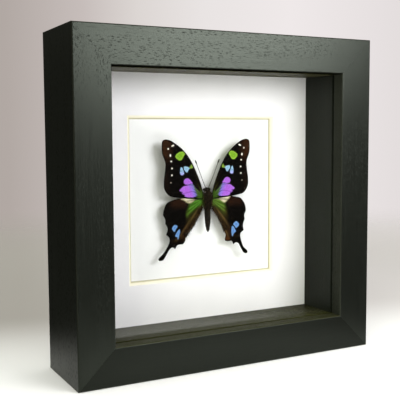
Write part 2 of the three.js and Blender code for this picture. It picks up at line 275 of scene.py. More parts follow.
# Dust lies on the top rail.
DUSTY = {"base": "#1d1f1b", "deep": "#181a16", "worn": "#2a2b25", "gloss": 0.7, "shine": 0.1}
# Per-side copies of the finishes, lighter or darker to match how light falls on each side: painted light and shade, not
# a thinner varnish or another stain. The bottom rail's front is darker; the upward-facing bottom lip and bottom spacer
# are lighter and olive where light from above falls on them; the top lip is darker in shade; the right lip and the top
# spacer are lighter.
RAIL_PAINTED_SHADE_SIDES = {"bottom": {"base": "#141613", "shine": 0.22}}
RAW_PAINTED_LIGHT_AND_SHADE_SIDES = {"bottom": {"base": "#333421", "deep": "#2c2d1c", "worn": "#3a3b27", "shine": 0.03},
             "top": {"base": "#0e0f0a", "deep": "#0b0c08", "worn": "#14150f", "shine": 0.0},
             "right": {"base": "#2c2e27", "deep": "#252721", "worn": "#33352d"}}
SPACER_PAINTED_LIGHT_SIDES = {"bottom": {"base": "#31321a", "deep": "#2a2b16", "worn": "#383920", "gloss": 0.24, "shine": 0.007},
                "top": {"base": "#48462b", "deep": "#3e3c25", "worn": "#4e4c32", "shine": 0.032}}
board_paper = paper_board("white_mount_board", "#f2f3f4", "#e9eaeb", 0.12, 0.86)
mat_paper = paper_board("white_mat_board", "#f5f4f7", "#ebeaed", 0.25, 0.82)
cream_core = mat_core()
glass = float_glass()
brown_board = hardboard()
# Metals: the last numbers are repeats a metre along x, y and z.
zinc_strip = rolled_metal("zinc_plated_steel", "#b4b6b8", "#9da0a3", "#7c7b77", 0.42, (300, 300, 5000))
brassed = rolled_metal("brassed_steel", "#c2a15a", "#ac8f50", "#806a3c", 0.38, (300, 300, 6000))
pin_steel = rolled_metal("bright_pin_steel", "#a4a6a8", "#85888c", "#5a5c60", 0.3, (6000, 200, 6000))
wing_finish = wing_scales()
# Cuticle: its mottling, in repeats a metre, is finest on the faceted eyes.
body_shell = insect_shell("butterfly_cuticle", "#070504", "#201810", 0.6, 900, 0.6)
eye_shell = insect_shell("dried_compound_eye", "#0a0706", "#1d130e", 0.28, 2200, 0.3)
feeler_shell = insect_shell("antenna_cuticle", "#100d0b", "#26201b", 0.55, 1600, 0.4)
dark_hair = insect_hair("thorax_hair", "#060403", "#4a3a24")
brown_hair = insect_hair("wing_margin_hair", "#150d06", "#48341c")
green_hair = insect_hair("wing_base_hair", "#263006", "#56701c")


# ---------- modelling ----------
def take(name):
    """The primitive just added, named, with its place in its mesh, open for editing, nothing selected."""
    piece = bpy.context.object
    piece.name = piece.data.name = name
    bpy.ops.object.transform_apply(location=True, rotation=True, scale=True)
    bpy.ops.object.mode_set(mode="EDIT")
    bpy.ops.mesh.select_all(action="DESELECT")
    return piece


def block(name, low, high):
    """A box between two corners, in millimetres, open for editing."""
    low, high = Vector(low), Vector(high)
    bpy.ops.object.select_all(action="DESELECT")
    bpy.ops.mesh.primitive_cube_add(size=1, location=(low + high) / 2 * MM, scale=(high - low) * MM)
    return take(name)


def pick(piece, kind, test):
    """Selects the faces or edges whose middle, in millimetres, and direction pass the test."""
    bpy.ops.mesh.select_mode(type=kind)
    bpy.ops.mesh.select_all(action="DESELECT")
    mesh = bmesh.from_edit_mesh(piece.data)
    mesh.normal_update()
    for part in mesh.faces if kind == "FACE" else mesh.edges:
        ends = [v.co / MM for v in part.verts]
        way = part.normal if kind == "FACE" else (ends[1] - ends[0]).normalized()
        if test(sum(ends, Vector()) / len(ends), way):
            part.select_set(True)
    bmesh.update_edit_mesh(piece.data)


def ease(width, steps):
    bpy.ops.mesh.bevel(offset=width * MM, segments=steps, affect="EDGES")


def only(piece):
    bpy.ops.object.select_all(action="DESELECT")
    piece.select_set(True)
    bpy.context.view_layer.objects.active = piece


def apply_modifier(piece, kind, **settings):
    only(piece)
    modifier = piece.modifiers.new(kind.lower(), kind)
    for key, value in settings.items():
        setattr(modifier, key, value)
    bpy.ops.object.modifier_apply(modifier=modifier.name)


def close(piece, *finishes, smooth=30, eased=False):
    """Ends editing: normals out, smooth over soft edges, with its materials. A piece with eased edges keeps
    its flat faces flat."""
    if bpy.context.mode == "EDIT_MESH":
        bpy.ops.mesh.select_all(action="SELECT")
        bpy.ops.mesh.normals_make_consistent(inside=False)
        bpy.ops.object.mode_set(mode="OBJECT")
    only(piece)
    if smooth:
        bpy.ops.object.shade_smooth_by_angle(angle=math.radians(smooth))
    if eased:
        apply_modifier(piece, "WEIGHTED_NORMAL", keep_sharp=True)
    for one in finishes:
        piece.data.materials.append(one)
    return piece


def round_off(piece, shell):
    """Ends editing and smooths a piece by one level."""
    close(piece, shell, smooth=0)
    apply_modifier(piece, "SUBSURF", levels=1, render_levels=1)
    return close(piece, smooth=60)


def linked(name, data):
    """A new object of this data, in the scene."""
    made = bpy.data.objects.new(name, data)
    bpy.context.scene.collection.objects.link(made)
    return made


def mark_arrises(piece):
    """Each face gets an arris value: 1 halfway round an eased edge, 0 where it is square to an axis."""
    mesh = piece.data
    normals = np.zeros(len(mesh.polygons) * 3)
    mesh.polygons.foreach_get("normal", normals)
    square = np.abs(normals.reshape(-1, 3)).max(1)
    values = np.clip((1 - square) / 0.18, 0, 1).astype(np.float32)
    mesh.attributes.new("arris", "FLOAT", "FACE").data.foreach_set("value", values)


def stand_for(piece, slot, *nodes):
    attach(piece, "root")
    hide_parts(*nodes)


def copied(piece, name):
    twin = linked(name, piece.data.copy())
    twin.data.name = name
    only(twin)
    return twin


# ---------- frame rails ----------
def bottom_rail():
    """One rail: a bar with a lip raised on its front, both ends cut to 45 degrees, long edges eased."""
    rail = block("rail_wood_bottom", (-SIDE / 2, FRONT, 0), (SIDE / 2, -FRONT, WALL))
    bpy.ops.mesh.select_all(action="SELECT")
    bpy.ops.mesh.bisect(plane_co=place(0, LIP, 0), plane_no=(0, 1, 0))
    pick(rail, "FACE", lambda p, n: n.z > 0.9 and p.y < FRONT + LIP)
    bpy.ops.mesh.extrude_region_move(TRANSFORM_OT_translate={"value": (0, 0, (FACE - WALL) * MM)})
    bpy.ops.mesh.select_all(action="SELECT")
    bpy.ops.mesh.dissolve_limited(angle_limit=math.radians(1))
    for end in (-1, 1):
        bpy.ops.mesh.select_all(action="SELECT")
        bpy.ops.mesh.bisect(plane_co=(end * (SIDE / 2 - MITRE_GAP) * MM, 0, 0), plane_no=(end, 0, 1),
                            use_fill=True, clear_outer=True)
    outer = [(FRONT, 0), (-FRONT, 0), (FRONT, FACE), (FRONT + LIP, FACE), (-FRONT, WALL)]
    pick(rail, "EDGE", lambda p, n: abs(n.x) > 0.99 and
         any(abs(p.y - y) < 0.1 and abs(p.z - z) < 0.1 for y, z in outer))
    ease(ARRIS, 5)
    pick(rail, "EDGE", lambda p, n: abs(abs(p.x) + p.z - SIDE / 2 + MITRE_GAP) < 0.02 and abs(n.x) < 0.9)
    ease(MITRE_ARRIS, 1)
    return close(rail, eased=True)


rail = bottom_rail()
mark_arrises(rail)
rails = {"bottom": rail}
for turn, side in enumerate(["left", "top", "right"], 1):
    twin = copied(rail, f"rail_wood_{side}")
    bpy.ops.transform.rotate(value=-turn * math.pi / 2, orient_axis="Y", center_override=(0, 0, SIDE / 2 * MM))
    bpy.ops.object.transform_apply(location=True, rotation=True, scale=True)
    rails[side] = twin
LIP_BACK = (FRONT + LIP + 0.5) * MM                # in metres, just behind the lip
for i, (side, piece) in enumerate(rails.items()):
    # Each rail's grain is shifted, so that no two look cut from the same spot.
    stained = partial(stained_wood, along="Z" if side in ("left", "right") else "X",
                      shift=(0.31 * i, 0.17 * i, 0.23 * i))
    # Each side's copies take that side's painted light and shade from the per-side tables.
    looks = [stained(f"black_stained_ash_{side}", **(RAIL | RAIL_PAINTED_SHADE_SIDES.get(side, {}))),
             stained(f"stained_ash_unvarnished_{side}", **(RAW | RAW_PAINTED_LIGHT_AND_SHADE_SIDES.get(side, {})))]
    if side == "top":
        looks.append(stained("black_stained_ash_dusty", **(RAIL | DUSTY)))
    for look in looks:
        piece.data.materials.append(look)
    for face in piece.data.polygons:
        # The lip's inner edge faces the middle of the window and got no varnish.
        inward = Vector((0, 0, SIDE / 2 * MM)) - face.center
        inward.y = 0
        face.material_index = int(face.normal.dot(inward.normalized()) > 0.5 and face.center.y < LIP_BACK
                                  and inward.length < 0.1)
        if side == "top" and face.normal.z > 0.9 and face.center.z > (SIDE - 0.4) * MM:
            face.material_index = 2
    stand_for(piece, "stained_wood", f"frame_rail_{side}")

# ---------- spacers ----------
INNER = SIDE / 2 - FACE
spans = {
    "bottom": ((-SEAT / 2, -SEAT / 2), (SEAT / 2, -INNER)), "top": ((-SEAT / 2, INNER), (SEAT / 2, SEAT / 2)),
    "left": ((-SEAT / 2, -INNER + 0.05), (-INNER, INNER - 0.05)),
    "right": ((INNER, -INNER + 0.05), (SEAT / 2, INNER - 0.05)),
}
for i, (side, (low, high)) in enumerate(spans.items()):
    spacer = block(f"spacer_wood_{side}", (low[0], FRONT + GLASS_BACK + 0.02, low[1] + SIDE / 2),
                   (high[0], FRONT + MAT_FRONT - 0.03, high[1] + SIDE / 2))
    axis = 2 if side in ("left", "right") else 0
    pick(spacer, "EDGE", lambda p, n: abs(n[axis]) > 0.99)
    ease(SPACER_ARRIS, 3)
    close(spacer, eased=True)
    mark_arrises(spacer)
    # Each spacer takes its side's painted light from the per-side table.
    spacer.data.materials.append(stained_wood(f"olive_stained_pine_{side}", along="XZ"[axis // 2],
                                              shift=(0.4 + 0.21 * i, 0.13 * i, 0.3),
                                              **(SPACER | SPACER_PAINTED_LIGHT_SIDES.get(side, {}))))
    stand_for(spacer, "spacer_wood", f"spacer_{side}")

# ---------- window mat ----------
half = SEAT / 2
mat = block("window_mat_board", (-half, FRONT + MAT_FRONT, SIDE / 2 - half), (half, FRONT + MAT_BACK, SIDE / 2 + half))
for facing, size in ((-1, WINDOW), (1, WINDOW_BACK)):
    pick(mat, "FACE", lambda p, n: n.y * facing > 0.9)
    bpy.ops.mesh.inset(thickness=(SEAT - size) / 2 * MM)
    bpy.ops.transform.translate(value=(WINDOW_X * MM, 0, (WINDOW_Z - SIDE / 2) * MM))
pick(mat, "FACE", lambda p, n: abs(n.y) > 0.9 and abs(p.x) < 2 and abs(p.z - SIDE / 2) < 2)
bpy.ops.mesh.bridge_edge_loops()
close(mat, mat_paper, cream_core, smooth=0)
for face in mat.data.polygons:
    face.material_index = int(max(abs(c) for c in face.normal) < 0.95)
bpy.ops.object.mode_set(mode="EDIT")
pick(mat, "EDGE", lambda p, n: abs(p.y - FRONT - MAT_FRONT) < 0.01)
ease(BEVEL_ARRIS, 2)
close(mat, eased=True)
stand_for(mat, "mat_board", "window_mat")


# ---------- outlines, in millimetres: x out from the body's axis and z up from the thorax, by turns ----------
def smooth_through(points, closed=False, step=0.2):
    """A smooth line through the points, with a point about every step."""
    points = np.array(points, float).reshape(-1, 2)
    count = len(points)
    line = []
    for i in range(count if closed else count - 1):
        a, b, c, d = (points[k % count if closed else min(max(k, 0), count - 1)] for k in (i - 1, i, i + 1, i + 2))
        steps = max(1, int(np.ceil(np.hypot(*(c - b)) / step)))
        for t in np.arange(steps) / steps:
            va, vb = (c - a) / 2, (d - b) / 2
            line.append((2 * b - 2 * c + va + vb) * t ** 3 + (3 * c - 3 * b - 2 * va - vb) * t ** 2 + va * t + b)
    if not closed:
        line.append(points[-1])
    return np.array(line)


def wing_outline(stretches):
    """Smooth stretches that meet at corners, as one closed line; each begins where the last ended."""
    line, last = [], []
    for stretch in stretches:
        line.extend(smooth_through(last + stretch)[:-1])
        last = stretch[-2:]
    line.append(np.array(last, float))
    closing = np.linspace(line[-1], line[0], 22)[1:-1]
    return np.array(line + list(closing))


def reach(points, line, closed=True):
    """How far each point is from a line."""
    ends = np.roll(line, -1, 0) if closed else line[1:]
    starts = line if closed else line[:-1]
    best = np.full(len(points), 1e9)
    for a, b in zip(starts, ends):
        way = b - a
        along = np.clip(((points - a) @ way) / max(way @ way, 1e-9), 0, 1)
        best = np.minimum(best, np.hypot(*(points - a - along[:, None] * way).T))
    return best


def within(points, line):
    """Whether each point is inside a closed line."""
    inside = np.zeros(len(points), bool)
    for (ax, az), (bx, bz) in zip(line, np.roll(line, -1, 0)):
        crosses = (az > points[:, 1]) != (bz > points[:, 1])
        if abs(bz - az) > 1e-12:
            inside ^= crosses & (points[:, 0] < (bx - ax) * (points[:, 1] - az) / (bz - az) + ax)
    return inside


def blend(low, high, value):
    t = np.clip((value - low) / (high - low), 0, 1)
    return t * t * (3 - 2 * t)


FOREWING = [
    [ROOT, 3.7, 4.9, 9.6, 9.8, 20.3, 15.1, 27.4, 21.6, 32.2, 25.4, 33.5, 27.5, 33],
    [28.1, 31.4, 28, 26, 26.2, 20.9, 26.2, 17, 27.1, 10.4, 26.8, 6, 24.2, 2.4, 20, 1.1, 9.3, -0.2,
     ROOT, -0.8],
]
HINDWINGS = {
    "left": [
        [ROOT, -0.3, 9, 1.3, 14.4, 1.2, 17.4, 0.4, 21, -0.3, 25.2, -1.8, 27.2, -5.2, 27.9, -8.6],
        [26.5, -11.2, 26.5, -13.5],
        [25.1, -16.4, 26, -19.8],
        [24.1, -21.8, 24.3, -24.8, 27.6, -29.8, 30.6, -32.6, 30.7, -33.9, 29.3, -34.2, 27.8, -33.7, 26.1, -31.3,
         24.2, -28.4, 22.3, -27.1, 20.6, -28.2],
        [18.9, -26, 15.7, -25.8],
        [14.2, -24.1, 13.4, -21.2, 8.6, -15, 3.3, -6.6, ROOT, -5],
    ],
    "right": [
        [ROOT, -0.3, 9, 1.3, 13.8, 1.2, 16.8, 0.3, 19.4, -0.3, 22.4, -1.2, 25.2, -4.8, 25.9, -8.6],
        [24.8, -11.2, 25.1, -13.5],
        [23.9, -17, 24.4, -20.2],
        [22.4, -21.7, 22.1, -23.8, 22.9, -27, 24.3, -30, 26.6, -32.3, 26.9, -33.8, 25.4, -34.1, 23.9, -33,
         22.1, -29.9, 20.8, -27.7, 18.9, -27.2, 17.4, -28.2],
        [16.2, -26.1, 13.4, -26.1, 11.7, -25.2, 12.3, -22.4],
        [10.9, -19, 8.3, -13.6, 5.9, -9.3, 3.4, -6.1, ROOT, -5],
    ],
}
FOREWING_VEINS = [
    [ROOT, 3.2, 8.6, 16.6, 13.6, 24.6, 20, 30.3, 25, 32.8],
    [ROOT, 2.7, 8.8, 13.8, 12.5, 19.4, 14.3, 21.8, 20, 27.9, 27.8, 32.2],
    [14.3, 21.8, 18, 25.2, 22.7, 28.9, 27.9, 30.2],
    [15.2, 21.6, 20.5, 25, 28, 27.9],
    [16.4, 20.3, 22, 22.9, 27, 23.4],
    [16.7, 18.6, 22, 19.2, 26.2, 19.4],
    [15.9, 15.8, 21, 15.4, 26.6, 14.2],
    [14.9, 13.6, 20, 11.4, 27, 10.2],
    [8.4, 8.8, 9.8, 7.5, 15, 7.6, 19, 7.9, 26.9, 6.9],
    [5, 2.6, 10, 4, 15.5, 3.1, 20, 3.6, 25.6, 4.2],
    [ROOT, 2.2, 7, 7, 10.5, 11.4, 13.7, 13.5, 15.1, 15.4, 15.6, 18.3, 16.6, 20.1, 15.3, 21.6, 14.3, 21.8],
]
HINDWING_VEINS = {
    "left": [
        [ROOT, -1, 9, -0.7, 18, -2.6, 27.2, -6.4], [ROOT, -1.5, 9, -2.6, 15, -5, 27.6, -8.6],
        [15, -5, 17, -7.6, 26.5, -12.2], [16.5, -9.5, 21, -13.2, 25.2, -16.4],
        [15.2, -12, 18.3, -16.3, 20.3, -19.4, 24, -25.6, 30.2, -33.5],
        [12.2, -11.3, 16, -18, 20.6, -27.6], [9.5, -9, 13, -17, 15.9, -25.4],
        [ROOT, -2.6, 8, -7, 12.2, -11.3, 15.2, -12, 16.5, -9.5, 15, -5],
    ],
    "right": [
        [ROOT, -1, 9, -0.7, 17, -2.6, 25.2, -6.4], [ROOT, -1.5, 9, -2.6, 14, -5, 25.6, -8.6],
        [14, -5, 16, -7.6, 24.8, -12.2], [15.5, -9.5, 19.5, -13.2, 23.9, -17],
        [14.2, -12, 16.2, -16.2, 19.4, -19.6, 22, -25.6, 26.2, -33.5],
        [11.4, -11.3, 14.5, -18, 17.5, -27.6], [8.7, -9, 11.2, -17, 13.6, -25.4],
        [ROOT, -2.6, 7.4, -7, 11.4, -11.3, 14.2, -12, 15.5, -9.5, 14, -5],
    ],
}

WING_BLACK = "#030201"
# Each pair: a marking's colour in its middle and at its edge.
GREEN, OLIVE = ("#74a228", "#88b03c"), ("#7c9634", "#6c8836")
SKY, PALE_SKY = ("#84aacc", "#94bada"), ("#86a6d2", "#94bada")
VIOLET, BLUE, BROWN = ("#a35ed0", "#a469d4"), ("#517cbf", "#6f99d0"), ("#4a2a12", "#341c0c")
CREAM, BASE_GREEN, BASE_OLIVE = ("#dcd5ba", "#bcb38e"), ("#4c8226", "#3e661c"), ("#5a7c2c", "#46601e")
# Each marking: its outline, its colours and how soft its edge is.
FOREWING_MARKS = [
    ([19.9, 24.4, 19.6, 23.2, 17.7, 21.8, 16.2, 22.1, 14.9, 23.9, 14.1, 25.1, 13.8, 26.1, 14.5, 26.5, 16.7, 26.6,
      18.5, 25.8], GREEN, 0.3),
    ([14.8, 17.9, 14, 18.3, 12.1, 17.9, 10.3, 17.7, 11.8, 16.6, 12.6, 15, 13.5, 15.1, 14.7, 16.6], SKY, 0.3),
    ([9, 19.8, 9.7, 19, 9.2, 17.6, 10.6, 16.9, 12, 17.7, 11, 18.2, 10.3, 19.3], OLIVE, 0.3),
    ([16.6, 17.9, 15.9, 17.5, 15.1, 15.9, 14.8, 14.3, 15.7, 13.5, 16.9, 13.8, 17.2, 15.5, 17, 16.7], PALE_SKY, 0.3),
    ([15, 9.1, 14.9, 10.3, 14.1, 11.2, 12.8, 11.6, 11.5, 11.1, 10.4, 9.8, 9.6, 8.6, 11, 8.4, 12.7, 8.1,
      14.3, 8.3], VIOLET, 0.3),
    ([17.8, 4.9, 16.6, 6.1, 15.2, 7.1, 13.5, 7.6, 11, 8, 9.3, 7.9, 7.6, 5.8, 5.6, 3.9, 5, 1.9, 8.5, 0.9,
      11, 0.8, 13.5, 1, 14.9, 1.8, 14.3, 2.2, 16, 2.9, 16.5, 3.5, 15.6, 3.9, 16.9, 4.3], VIOLET, 0.3),
]
# Each dot: its middle and its half-widths.
WHITE_DOTS = [(21.5, 30, 0.84, 0.46), (24.3, 28.3, 0.4, 0.46), (23, 24.6, 0.46, 0.74), (22.5, 21.3, 0.44, 0.42),
              (22.1, 17.4, 0.44, 0.48), (22.2, 13.6, 0.42, 0.46), (22.9, 9.5, 0.4, 0.4)]
HINDWING_MARKS = {
    "left": [
        ([13.2, -8.6, 12.2, -5.6, 11.4, -3.2, 9.4, -2, 7.9, -0.9, 3.1, -0.2, 2.8, -3.4, 6.7, -5.6, 10.2, -8.6,
          12.6, -10.6], BASE_GREEN, 1.9),
        ([17.6, 0.4, 16, 1.6, 6.1, 1.2, 4.4, 0.1, 7.9, -0.9, 9.2, -1.8, 11.3, -2.6, 13.2, -2.1, 15, -0.8],
         CREAM, 1),
        ([22.3, -16.4, 21.6, -15.1, 20.5, -14.6, 19.2, -15, 19.1, -15.8, 20, -17, 20.7, -18.3, 21.8, -17.5],
         BLUE, 0.4),
        ([20, -20.1, 18.8, -18.1, 17.7, -17.1, 17.3, -18.5, 17.8, -20.3, 18.4, -22.6, 18.8, -22.7, 19, -21.5,
          20.3, -21], BLUE, 0.4),
    ],
    "right": [
        ([3.1, -0.2, 7.8, -0.9, 9.9, -2, 11.6, -3.5, 12, -6.6, 11.9, -9.4, 10.4, -9.8, 8, -7, 4.9, -4.9,
          2.8, -3.4], BASE_OLIVE, 1.9),
        ([4.4, 0.1, 6.1, 1.2, 9, 1.4, 15.6, 1.2, 15.4, 0.2, 13.7, -1.5, 11.7, -3.1, 10.4, -3, 8.4, -1.5], CREAM, 1),
        ([17.5, -16.1, 19.1, -14.8, 20.2, -15.2, 21.3, -16.7, 20.2, -18.1, 19.4, -18.6, 18.3, -17.4], BLUE, 0.4),
        ([16.3, -18.2, 16.8, -17.2, 17.6, -17.8, 18.5, -19.4, 19.1, -20.7, 17.8, -21.7, 17, -23.3, 16.4, -22.7,
          16.2, -20.1], BLUE, 0.4),
        ([11.9, -22.6, 14.2, -23.2, 15.4, -24.6, 14.6, -25.8, 12.2, -25.4], BROWN, 0.9),
    ],
}


def hued(code):
    return np.array(linear(code)[:3])


def lay(colours, share, code):
    """Lays a colour over the others by its share at each point."""
    colours += share[:, None] * ((hued(code) if isinstance(code, str) else code) - colours)


def lay_marks(colours, points, marks):
    for outline, (middle, edge), soft in marks:
        line = smooth_through(outline, closed=True, step=0.4)
        far = reach(points, line)
        inward = np.where(within(points, line), far, -far)
        jag = chance.normal(0, 0.06, len(points))
        tone = hued(edge) + blend(0.15, 1.3, inward)[:, None] * (hued(middle) - hued(edge))
        lay(colours, blend(-soft / 2, soft / 2, inward + jag), tone)


def streaks(x, z, count):
    """Fine lines that fan out from a wing's base, from 0 to 1."""
    turn = np.arctan2(z, x - 1.0)
    return 0.5 + 0.5 * np.sin(turn * count + 1.3 * np.sin(turn * 11)) * blend(1, 4, x)


def forewing_paint(points, rim):
    x, z = points.T
    colours = np.tile(hued(WING_BLACK), (len(points), 1))
    lay(colours, 0.85 * blend(18, 27, z) * blend(20, 26, x), "#321d0f")       # brown apex
    lay(colours, 0.6 * blend(22.5, 26, x) * blend(24, 10, z), "#180e08")
    # Olive and brown streaks that run out from the wing's base along the leading edge.
    for line, width, code in (([3, 4.6, 6.2, 11.0, 9.0, 16.4], 0.5, "#3d3314"),
                              ([3.6, 3.4, 7.4, 9.6], 0.6, "#37380f"),
                              ([3.3, 6.4, 5.4, 10.6, 8.8, 17.6, 11.4, 21.6], 0.4, "#2c1f0f")):
        far = reach(points, smooth_through(line), closed=False)
        lay(colours, 0.8 * blend(width, 0.1, far) * blend(line[-1] + 1, 4, z), code)
    lay_marks(colours, points, FOREWING_MARKS)
    lay(colours, 0.75 * blend(15.6, 14.0, z) * (x > 14.6) * (z > 13) * (colours[:, 2] > 0.3), "#aaa0ec")   # violet foot
    # The violet turns blue, then green, towards the body.
    violet = (z < 8.4) * (colours[:, 2] > 0.3)
    inwards = x - 0.42 * (z - 1)
    lay(colours, violet * 0.85 * blend(10.6, 7.0, inwards), "#7672cc")
    lay(colours, violet * blend(7.6, 5.8, inwards), "#4a6334")
    base = np.hypot(x - 3.4, (z - 1.0) * 0.9)
    lay(colours, 0.9 * blend(4.6, 2.2, base) * blend(5.2, 3.2, z), "#3c5c1c")
    lay(colours, 0.6 * streaks(x, z, 34) * blend(8.5, 6.5, inwards) * blend(8, 4, z), "#1a1a08")
    for cx, cz, rx, rz in WHITE_DOTS:
        spot = np.hypot((x - cx) / rx, (z - cz + 0.3 * (x - cx) * (cz > 29)) / rz)
        lay(colours, blend(1.25, 0.8, spot), "#f2ede4" if cz > 10 else "#8c847a")
    lay(colours, 0.85 * blend(0.9, 0.3, rim), WING_BLACK)
    return colours


INNER_POINTS = 220                                 # the outline's last points, along the inner margin


def hindwing_paint(side, points, rim):
    x, z = points.T
    colours = np.tile(hued(WING_BLACK), (len(points), 1))
    lay(colours, 0.75 * blend(-7, -2, z) * blend(12, 15, x) * blend(25, 21, x), "#28160c")   # warmer in front
    inner = reach(points, wing_outline(HINDWINGS[side])[-INNER_POINTS:], closed=False)
    margin = blend(-25, -20, z)
    lay(colours, 0.9 * margin * blend(5.2, 1.2, inner) * blend(-2, -6, z), "#33200f")  # brown, hairy inner margin
    lay_marks(colours, points, HINDWING_MARKS[side])
    # The green goes olive, then brown, down the margin.
    lay(colours, 0.7 * blend(-4.5, -9.5, z) * blend(14.5, 11.5, x) * blend(-18, -9, z), "#3b3512")
    lay(colours, 0.65 * streaks(x, z, 30) * blend(14.5, 12, x) * blend(-22, -14, z), "#191306")
    lay(colours, 0.75 * margin * blend(1.3, 0.3, inner) * blend(-2.4, -5, z), "#3a2412")
    lay(colours, 0.7 * streaks(x, z, 41) ** 4 * margin * blend(5, 2, inner) * blend(-5, -9, z), "#6e5530")
    lay(colours, 0.85 * blend(0.8, 0.25, rim) * blend(12, 16, x), WING_BLACK)
    return colours


PITCH, JITTER = 0.24, 0.012                        # how far apart a wing's points are, and how far they stray
RIM_CLEAR = 0.13                                   # no inner point is nearer the outline
VEIN_HEIGHT, VEIN_WIDTH = 0.07, 0.16
BILLOW = 0.25                                      # how far a wing curves up and down over its whole width


def wing(name, stretches, veins, flip, depth, lift, paint, pleat=0.05, spread=1.0):
    """One wing: an even sheet inside its outline, veined and faintly pleated, coloured point by point.
    Spread widens it outwards."""
    outline = wing_outline(stretches)
    low, high = outline.min(0), outline.max(0)
    rows = np.arange(low[1], high[1], PITCH * math.sqrt(3) / 2)
    grid = np.array([(x + (i % 2) * PITCH / 2, z) for i, z in enumerate(rows)
                     for x in np.arange(low[0], high[0], PITCH)])
    grid += chance.normal(0, JITTER, grid.shape)
    rim = reach(grid, outline)
    grid = grid[within(grid, outline) & (rim > RIM_CLEAR)]
    points = [Vector(p) for p in np.vstack([outline, grid])]
    verts, _, faces, *_ = delaunay_2d_cdt(points, [], [list(range(len(outline)))], 1, 1e-5, False)
    flat = np.array([tuple(v) for v in verts])
    faces = np.array(faces)
    faces = faces[within(flat[faces].mean(1), outline)].tolist()
    rim = reach(flat, outline)
    near = np.min([reach(flat, smooth_through(v), closed=False) for v in veins], 0)
    on_vein = np.exp(-(near / VEIN_WIDTH) ** 2)
    height = VEIN_HEIGHT * on_vein + pleat * np.cos(np.clip(near, 0, 2) * math.pi / 2)
    height += BILLOW * np.sin(flat[:, 0] / 9) * np.cos(flat[:, 1] / 8) * blend(0, 8, flat[:, 0] - ROOT)
    height *= blend(0, 0.5, rim)
    colours = paint(flat, rim)
    dusted = colours[:, 1] > np.maximum(colours[:, 0], colours[:, 2]) * 0.9    # green and cream hide the veins
    lay(colours, np.where(dusted, 0.08, 0.6) * on_vein, "#0d0708")
    colours *= 1 + chance.normal(0, 0.09, (len(flat), 1))
    tip = math.sin(math.radians(lift))
    co = np.stack([SPECIMEN.x + flip * (ROOT + spread * (flat[:, 0] - ROOT)),
                   FRONT + depth + 0.15 - flat[:, 0] * tip - height, SPECIMEN.z + flat[:, 1]], 1) * MM
    mesh = bpy.data.meshes.new(name)
    mesh.from_pydata(co.tolist(), [], [f if flip < 0 else f[::-1] for f in faces])
    attribute = mesh.color_attributes.new("wing_colour", "FLOAT_COLOR", "POINT")
    attribute.data.foreach_set("color", np.hstack([np.clip(colours, 0, 1), np.ones((len(flat), 1))]).ravel())
    piece = linked(name, mesh)
    only(piece)
    bpy.ops.object.mode_set(mode="EDIT")
    close(piece, smooth=0)
    apply_modifier(piece, "SOLIDIFY", thickness=WING_THICKNESS * MM, offset=0)
    return close(piece, wing_finish, smooth=50)


# ---------- hair ----------
def tuft(name, roots, ways, lengths, width, sag, look):
    """Tapered three-sided hairs, in millimetres: each bends by sag and ends in a point."""
    sag = np.array(sag)
    count = len(roots)
    ways = ways / np.linalg.norm(ways, axis=1, keepdims=True)
    side = np.cross(ways, chance.normal(0, 1, (count, 3)))
    side /= np.linalg.norm(side, axis=1, keepdims=True)
    up = np.cross(ways, side)
    verts, faces = [], []
    for share, thick in ((0.0, 1.0), (0.5, 0.75)):
        middle = roots + ways * (lengths * share)[:, None] + sag * (share ** 2 * lengths)[:, None]
        for corner in range(3):
            turn = corner * 2 * math.pi / 3
            verts.append(middle + width / 2 * thick * (math.cos(turn) * side + math.sin(turn) * up))
    verts.append(roots + ways * lengths[:, None] + sag * lengths[:, None])
    points = np.stack(verts, 1).reshape(-1, 3)
    for i in range(count):
        at = 7 * i
        for c in range(3):
            n = (c + 1) % 3
            faces += [(at + c, at + n, at + 3 + n, at + 3 + c), (at + 3 + c, at + 3 + n, at + 6)]
        faces.append((at + 2, at + 1, at))
    mesh = bpy.data.meshes.new(name)
    mesh.from_pydata((points * MM).tolist(), [], faces)
    mesh.materials.append(look)
    return linked(name, mesh)


def margin_hair(name, side, flip, count):
    """Long soft hair along a hindwing's inner margin, combed down and towards the body."""
    line = smooth_through(HINDWINGS[side][-1])[::-1]
    line = line[line[:, 1] > -21]
    at = line[chance.integers(0, len(line), count)]
    inset = chance.exponential(1.2, count)
    spread = chance.normal(0, 0.26, count)
    roots = np.stack([flip * (at[:, 0] + 0.75 * inset) + SPECIMEN.x,
                      np.full(count, FRONT + HINDWING_DEPTH + 0.12) - chance.random(count) * 0.12,
                      at[:, 1] + 0.45 * inset + SPECIMEN.z], 1)
    ways = np.stack([flip * (0.22 + spread), chance.normal(0.02, 0.12, count), np.full(count, -1.0)], 1)
    lengths = chance.uniform(1.0, 2.9, count)
    return tuft(name, roots, ways, lengths, 0.075, (-flip * 0.1, 0.03, 0), brown_hair)


def joined(pieces, name):
    bpy.ops.object.select_all(action="DESELECT")
    for piece in pieces:
        piece.select_set(True)
    bpy.context.view_layer.objects.active = pieces[0]
    bpy.ops.object.join()
    pieces[0].name = pieces[0].data.name = name
    return pieces[0]


for side, flip in (("left", -1), ("right", 1)):
    fore = wing(f"wing_fore_{side}", FOREWING, FOREWING_VEINS, flip, FOREWING_DEPTH, FOREWING_LIFT,
                forewing_paint, spread=1.03 if flip < 0 else 0.975)
    stand_for(fore, "wing", f"forewing_{side}")
    hind = wing(f"wing_hind_{side}", HINDWINGS[side], HINDWING_VEINS[side], flip, HINDWING_DEPTH, 0,
                partial(hindwing_paint, side))
    hair = margin_hair(f"hair_{side}", side, flip, MARGIN_HAIRS)
    stand_for(joined([hind, hair], f"wing_hind_{side}"), "wing", f"hindwing_{side}")

